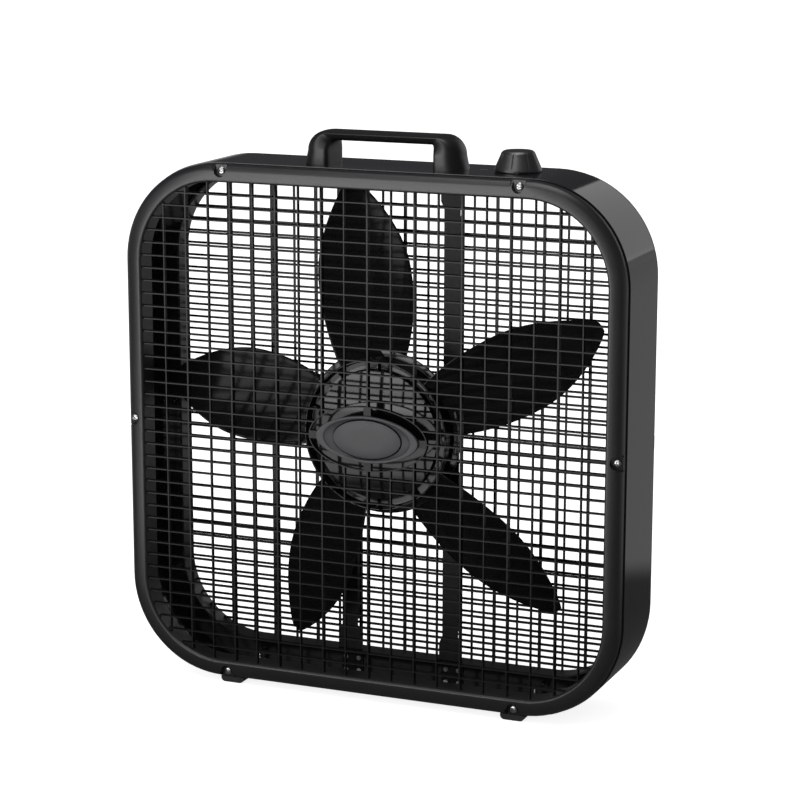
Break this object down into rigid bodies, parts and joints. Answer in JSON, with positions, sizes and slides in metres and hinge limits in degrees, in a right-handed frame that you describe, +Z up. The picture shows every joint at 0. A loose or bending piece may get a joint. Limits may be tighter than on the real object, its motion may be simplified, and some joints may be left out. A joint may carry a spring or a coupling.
{
  "type": "box fan",
  "caption": "Square portable box fan: steel body with rounded corners, moulded grid grilles, bladed rotor on a motor, carry handle and rotary speed knob.",
  "frame": {"origin": "on the floor under the middle of the body", "axes": "+X to the right of someone facing the front, +Y to the rear, +Z up; air leaves along -Y"},
  "size_m": [0.527, 0.108, 0.5655],
  "materials": {
    "body_steel": "gloss black enamel",
    "grille_plastic": "satin black",
    "badge_plastic": "satin charcoal",
    "handle_plastic": "satin black",
    "foot_plastic": "satin black",
    "screw_steel": "zinc plated",
    "post_steel": "grey primer",
    "bracket_metal": "die cast",
    "stack_steel": "laminated",
    "winding": "enamelled copper",
    "bearing_bronze": "sintered bronze",
    "felt": "oiled felt",
    "lead_rubber": "matt black",
    "switch_plastic": "matt black",
    "blade_plastic": "satin charcoal",
    "shaft_steel": "ground",
    "knob_plastic": "satin black",
    "detent_plastic": "white nylon"
  },
  "bodies": {
    "housing": {"body_band": "body_steel", "front_grille": "grille_plastic", "rear_grille": "grille_plastic", "badge_plate": "badge_plastic", "carry_handle": "handle_plastic", "handle_screws": "screw_steel", "foot_left": "foot_plastic", "foot_right": "foot_plastic", "foot_screws": "screw_steel", "front_screws": "screw_steel", "rear_screws": "screw_steel", "post_left": "post_steel", "post_right": "post_steel", "post_rivets": "screw_steel", "motor_screws": "screw_steel", "front_bracket": "bracket_metal", "rear_bracket": "bracket_metal", "stator_core": "stack_steel", "stator_coils": "winding", "motor_bolts": "screw_steel", "front_bearing": "bearing_bronze", "rear_bearing": "bearing_bronze", "oil_felts": "felt", "motor_lead": "lead_rubber", "cord_bushing": "lead_rubber", "switch_body": "switch_plastic", "switch_nut": "screw_steel", "switch_terminals": "bearing_bronze"},
    "fan": {"fan_blade": "blade_plastic", "hub_clip": "screw_steel", "motor_shaft": "shaft_steel", "rotor_core": "stack_steel", "thrust_washers": "bearing_bronze"},
    "knob": {"speed_knob": "knob_plastic", "switch_stem": "shaft_steel", "detent_wheel": "detent_plastic"}
  },
  "joints": [
    {"name": "fan_spin", "type": "hinge", "parent": "housing", "child": "fan", "pos_m": [0, 0, 0.2695], "axis": [0, 1, 0], "continuous": true},
    {"name": "knob_turn", "type": "hinge", "parent": "housing", "child": "knob", "pos_m": [0.1345, 0.0035, 0.533], "axis": [0, 0, -1], "range_deg": [0, 270]}
  ]
}
